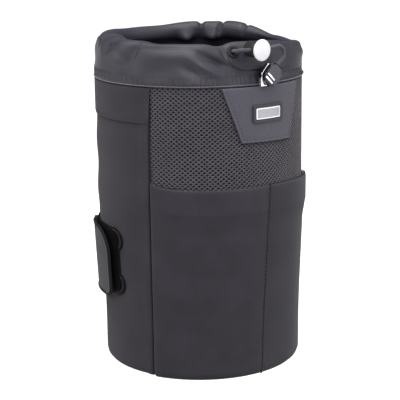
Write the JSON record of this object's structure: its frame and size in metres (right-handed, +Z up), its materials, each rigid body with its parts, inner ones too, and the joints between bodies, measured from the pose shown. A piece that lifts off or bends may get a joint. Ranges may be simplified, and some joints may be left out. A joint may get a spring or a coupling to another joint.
{
  "type": "lens pouch",
  "caption": "Padded cylindrical lens pouch with a drawstring collar and cord lock, stretch front pocket, patch with bare label, press-closed side tabs and a back belt loop.",
  "frame": {"origin": "centre of the base's underside, on the floor", "axes": "+Z up along the pouch, -Y to the front with the pocket and label, +X to the pouch's own right as seen from the front"},
  "size_m": [0.1384, 0.1458, 0.206],
  "materials": {
    "nylon": "matte woven nylon",
    "mesh": "open warp-knit mesh",
    "stretch": "matte stretch knit",
    "collar": "satin nylon twill",
    "leather": "smooth pebbled synthetic leather",
    "rubber": "matte moulded rubber",
    "satin": "satin metal plate",
    "foam": "closed-cell foam",
    "board": "stiff sheet",
    "lining": "smooth lining",
    "webbing": "woven webbing",
    "binding": "ribbed binding tape",
    "grip": "hook and loop",
    "cord": "braided elastic cord",
    "plastic": "moulded, fine grain",
    "button": "bright flat face",
    "gunmetal": "dark polished metal",
    "steel": "spring wire"
  },
  "bodies": {
    "pouch": {"base_panel": "nylon", "left_side_panel": "nylon", "right_side_panel": "nylon", "back_panel": "nylon", "left_side_facing": "nylon", "right_side_facing": "nylon", "left_tab_patch": "nylon", "right_tab_patch": "nylon", "front_mesh_panel": "mesh", "front_pocket": "stretch", "pocket_hem": "stretch", "collar": "collar", "collar_placket": "collar", "leather_patch": "leather", "label_frame": "rubber", "label_plate": "satin", "base_foam": "foam", "front_foam": "foam", "right_foam": "foam", "back_foam": "foam", "left_foam": "foam", "base_board": "board", "inner_lining": "lining", "belt_loop": "webbing", "left_tab_anchor": "webbing", "right_tab_anchor": "webbing", "left_tab_loop_pad": "grip", "right_tab_loop_pad": "grip", "drawcord_in_channel": "cord", "drawcord_tail": "cord", "cord_eyelet": "gunmetal", "cord_end_front": "gunmetal", "cord_end_back": "gunmetal"},
    "left_tab": {"left_tab_flap": "nylon", "left_tab_binding": "binding", "left_tab_hook_pad": "grip"},
    "right_tab": {"right_tab_flap": "nylon", "right_tab_binding": "binding", "right_tab_hook_pad": "grip"},
    "cord_lock": {"lock_barrel": "plastic", "lock_spring": "steel"},
    "lock_button": {"lock_plunger": "button"}
  },
  "joints": [
    {"name": "left_tab_hinge", "type": "hinge", "parent": "pouch", "child": "left_tab", "pos_m": [-0.0566, 0.03821, 0.068], "axis": [0, 0, -1], "range_deg": [0, 130]},
    {"name": "right_tab_hinge", "type": "hinge", "parent": "pouch", "child": "right_tab", "pos_m": [0.0566, 0.03821, 0.068], "axis": [0, 0, 1], "range_deg": [0, 130]},
    {"name": "lock_slide", "type": "slide", "parent": "pouch", "child": "cord_lock", "axis": [1, 0, 0], "range_m": [0, 0.004]},
    {"name": "button_press", "type": "slide", "parent": "cord_lock", "child": "lock_button", "axis": [0, 1, 0], "range_m": [0, 0.0015], "stiffness_N_per_m": 400, "springref_m": -0.002, "deforming": ["lock_spring"]}
  ]
}
